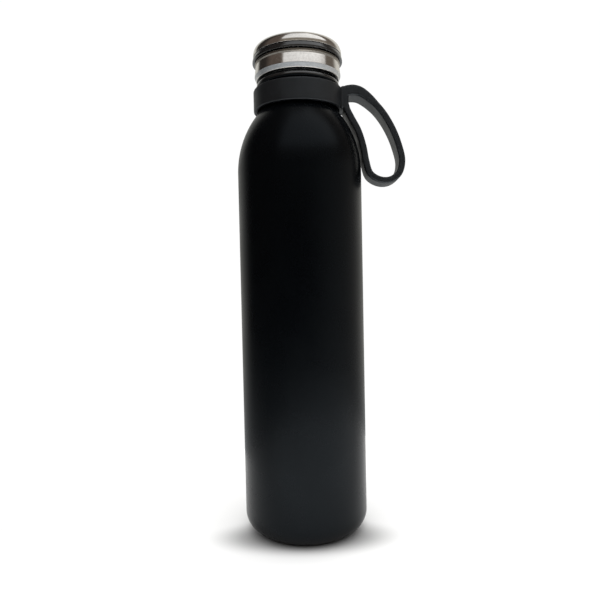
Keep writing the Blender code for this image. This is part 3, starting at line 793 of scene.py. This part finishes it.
def make_loop_band():
    """The strap's band: a rounded section swept along the teardrop, thicker at its root."""
    line = smooth_line(LOOP_LINE, LOOP_STEPS)
    vertices, faces, rings = [], [], []
    distance = 0.0
    for index, here in enumerate(line):
        before, after = line[max(index - 1, 0)], line[min(index + 1, len(line) - 1)]
        distance += (here - before).length
        share = min(1.0, max(0.0, 1 - (distance - LOOP_ROOT_START) / LOOP_ROOT_LENGTH))
        thickness = LOOP_THICKNESS + (LOOP_ROOT_THICKNESS - LOOP_THICKNESS) * share
        tangent = (after - before).normalized()
        normal = Vector((-tangent.y, tangent.x))
        ring = []
        for across, along in band_section(thickness, STRAP_WIDTH, LOOP_FILLET):
            ring.append(len(vertices))
            vertices.append((here.x + normal.x * across, along, here.y + normal.y * across))
        rings.append(ring)
    size = len(rings[0])
    for lower, upper in zip(rings, rings[1:]):
        faces += [(lower[k], lower[(k + 1) % size], upper[(k + 1) % size], upper[k]) for k in range(size)]
    faces += [tuple(rings[0]), tuple(rings[-1][::-1])]
    return mesh_object("loop_band", vertices, faces)


def make_tab():
    """The block on the collar that the loop springs from."""
    low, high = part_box("strap_collar")
    face = high.x / MM
    bm = bmesh.new()
    bmesh.ops.create_cube(bm, size=1.0)
    size = (face - TAB_START, STRAP_WIDTH, high.z / MM - low.z / MM - TAB_RISE)
    middle = ((face + TAB_START) / 2, 0.0, (high.z + low.z) / MM / 2 + TAB_RISE / 2)
    bmesh.ops.transform(bm, matrix=Matrix.LocRotScale(Vector(middle), None, Vector(size)), verts=bm.verts)
    bmesh.ops.bevel(bm, geom=bm.edges[:], offset=TAB_FILLET, segments=4, affect="EDGES")
    vertices = [tuple(v.co) for v in bm.verts]
    faces = [tuple(v.index for v in f.verts) for f in bm.faces]
    bm.free()
    return mesh_object("tab", vertices, faces)


def make_strap(finish):
    """The whole silicone strap as one moulding: collar, tab and loop, with soft joins."""
    low = bottom("strap_collar")
    outline = [(COLLAR_INNER_RADIUS, low, 0.5), (COLLAR_OUTER_RADIUS, low, 0.6),
               (COLLAR_OUTER_RADIUS, COLLAR_TOP, 0.8), (COLLAR_INNER_RADIUS, COLLAR_TOP, 0.4)]
    collar = lathe("strap", supported(rounded(outline), longest=1.5))
    parts = [make_tab(), make_loop_band()]
    bm = bmesh.new()
    bm.from_mesh(collar.data)
    for part in parts:
        bm.from_mesh(part.data)
        bpy.data.objects.remove(part, do_unlink=True)
    bm.to_mesh(collar.data)
    bm.free()
    remesh = collar.modifiers.new("remesh", "REMESH")
    remesh.mode = "VOXEL"
    remesh.voxel_size = STRAP_VOXEL * MM
    remesh.use_smooth_shade = True
    soften = collar.modifiers.new("soften", "SMOOTH")
    soften.factor = 0.5
    soften.iterations = STRAP_SMOOTHING
    shaped = collar.evaluated_get(bpy.context.evaluated_depsgraph_get())
    mesh = bpy.data.meshes.new_from_object(shaped)
    collar.modifiers.clear()
    collar.data = mesh
    mesh.shade_smooth()
    low_corner, high_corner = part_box("strap_collar")
    start = Vector((high_corner.x, 0.0, low_corner.z)) + Vector(LOOP_BEND_START) * MM
    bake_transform(collar, "collar", "loop", start, start + Vector(LOOP_BEND) * MM)
    return show(collar, "collar", "strap_silicone", finish, "strap_collar", "strap_loop")


# ---------------------------------------------------------------------------------------------------
# Light, floor and camera
# ---------------------------------------------------------------------------------------------------

class Sky:
    """A studio surround painted by direction: azimuth from the front towards +X, and elevation."""

    def __init__(self):
        world = bpy.data.worlds.new("studio")
        bpy.context.scene.world = world
        world.use_nodes = True
        self.tree = world.node_tree
        self.tree.nodes.clear()
        direction = self.tree.nodes.new("ShaderNodeTexCoord").outputs["Generated"]
        parts = self.node("ShaderNodeSeparateXYZ", direction).outputs
        back = self.maths("MULTIPLY", parts[1], -1.0)
        self.azimuth = self.maths("DEGREES", self.maths("ARCTAN2", parts[0], back))
        self.elevation = self.maths("DEGREES", self.maths("ARCSINE", parts[2]))

    def node(self, kind, *values, **settings):
        made = self.tree.nodes.new(kind)
        for key, value in settings.items():
            setattr(made, key, value)
        for index, value in enumerate(values):
            if isinstance(value, bpy.types.NodeSocket):
                self.tree.links.new(value, made.inputs[index])
            else:
                made.inputs[index].default_value = value
        return made

    def maths(self, operation, *values):
        return self.node("ShaderNodeMath", *values, operation=operation).outputs[0]

    def step(self, value, start, end):
        """0 before start and 1 after end, with a smooth change; start may be above end."""
        made = self.node("ShaderNodeMapRange", value, start, end, 0.0, 1.0,
                         interpolation_type="SMOOTHSTEP")
        return made.outputs[0]

    def window(self, azimuths, elevations, soft):
        """1 inside a patch of the surround, with soft edges in degrees."""
        sides = [self.step(self.azimuth, azimuths[0] - soft, azimuths[0] + soft),
                 self.step(self.azimuth, azimuths[1] + soft, azimuths[1] - soft),
                 self.step(self.elevation, elevations[0] - soft, elevations[0] + soft),
                 self.step(self.elevation, elevations[1] + soft, elevations[1] - soft)]
        whole = sides[0]
        for side in sides[1:]:
            whole = self.maths("MULTIPLY", whole, side)
        return whole

    def blend(self, share, below, above):
        made = self.node("ShaderNodeMix", share, data_type="RGBA")
        for index, value in ((6, below), (7, above)):
            if isinstance(value, bpy.types.NodeSocket):
                self.tree.links.new(value, made.inputs[index])
            else:
                made.inputs[index].default_value = (*value, 1.0)
        return made.outputs[2]


def make_surround():
    """A dark room with a wide, high window at the front right, and paler walls low down and behind.

    The camera itself sees a white backdrop.
    """
    sky = Sky()
    colour = ROOM
    for azimuths, elevations, soft, paint in WALL_PATCHES:
        colour = sky.blend(sky.window(azimuths, elevations, soft), colour, paint)
    for azimuths, elevations, paint in LOW_CORNERS:
        corner = sky.maths("MULTIPLY", sky.step(sky.azimuth, *azimuths),
                           sky.step(sky.elevation, *elevations))
        colour = sky.blend(corner, colour, paint)
    for azimuths, paint in BACK_WALLS:
        colour = sky.blend(sky.step(sky.azimuth, *azimuths), colour, paint)
    for elevations, paint in (OVERHEAD, TABLE):
        colour = sky.blend(sky.step(sky.elevation, *elevations), colour, paint)
    window = sky.window(*WINDOW)
    rightwards = sky.node("ShaderNodeMapRange", sky.azimuth, *WINDOW[0], 0.0, 1.0).outputs[0]
    colour = sky.blend(window, colour, sky.blend(rightwards, *WINDOW_GLOW))
    seen = sky.node("ShaderNodeLightPath").outputs["Is Camera Ray"]
    colour = sky.blend(seen, colour, BACKDROP)
    shade = sky.node("ShaderNodeBackground", colour, 1.0).outputs[0]
    out = sky.tree.nodes.new("ShaderNodeOutputWorld")
    sky.tree.links.new(shade, out.inputs["Surface"])


def make_ceiling_light():
    """Wide soft light from above that whitens the floor and keeps out of reflections."""
    data = bpy.data.lights.new("ceiling", "SUN")
    data.energy = CEILING_STRENGTH
    data.angle = radians(CEILING_SPREAD)
    light = bpy.data.objects.new("ceiling", data)
    light.visible_glossy = False
    bpy.context.scene.collection.objects.link(light)


def make_floor():
    """A round pale table, set a little to the front and right."""
    bm = bmesh.new()
    bmesh.ops.create_circle(bm, cap_ends=True, radius=FLOOR_RADIUS, segments=128)
    bmesh.ops.translate(bm, verts=bm.verts, vec=FLOOR_MIDDLE)
    mesh = bpy.data.meshes.new("studio_floor")
    bm.to_mesh(mesh)
    bm.free()
    floor = bpy.data.objects.new("studio_floor", mesh)
    bpy.context.scene.collection.objects.link(floor)
    mesh.materials.append(floor_finish(reach("outer_shell") * MM))


def make_camera():
    """A camera a little above mid height, pitched slightly down and rolled a little."""
    data = bpy.data.cameras.new("camera")
    data.sensor_width = CAMERA_SENSOR
    data.lens = CAMERA_LENS
    data.clip_start = CAMERA_NEAR
    camera = bpy.data.objects.new("camera", data)
    bpy.context.scene.collection.objects.link(camera)
    pitch, roll, yaw = CAMERA_PITCH, CAMERA_ROLL, CAMERA_YAW
    ahead = Vector((sin(yaw) * cos(pitch), cos(yaw) * cos(pitch), -sin(pitch)))
    right = Vector((cos(yaw), -sin(yaw), 0.0))
    up = right.cross(ahead)
    tilted_right = cos(roll) * right + sin(roll) * up
    tilted_up = -sin(roll) * right + cos(roll) * up
    turned = Matrix((tilted_right, tilted_up, -ahead)).transposed()
    camera.matrix_world = Matrix.LocRotScale(Vector(CAMERA_PLACE), turned, None)
    bpy.context.scene.camera = camera


def repaint(node, finish):
    """Gives a CAD node that keeps its shape a finished material."""
    for material_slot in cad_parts[node].material_slots:
        material_slot.material = finish


lid_steel = steel("lid_steel_polished", (0.94, 0.905, 0.86), 0.13)
inner_steel = steel("liner_steel_satin", (0.82, 0.805, 0.78), 0.24, lines=0.6, waves=0.25)

make_shell(powder_coat(), rubber("neck_bead_gloss", 0.08))
make_base(spun_disc("base_steel_spun"))
make_liner(inner_steel)
# The bevel's blue-grey colour is a painted reflection; the lip's dark colour is painted shade
make_band(lid_steel, steel("lid_bevel_brushed_painted_reflection", (0.79, 0.81, 0.83), 0.40, lines=1.2, waves=0.2),
          steel("lid_lip_shaded", (0.36, 0.33, 0.29), 0.24, waves=0.2))
make_cap(lid_steel)
make_ring(rubber("grip_ring_rubber"))
make_core(plastic("core_plastic_black"))
make_plug_cup(inner_steel)
make_gasket(gasket_silicone())
make_strap(silicone("strap_silicone_black"))
for hidden, hidden_finish in hidden_finishes().items():
    repaint(hidden, hidden_finish)
repaint("vacuum_plate", spun_disc("vacuum_plate_steel"))

make_surround()
make_ceiling_light()
make_floor()
make_camera()
bpy.context.scene.view_settings.view_transform = "Standard"
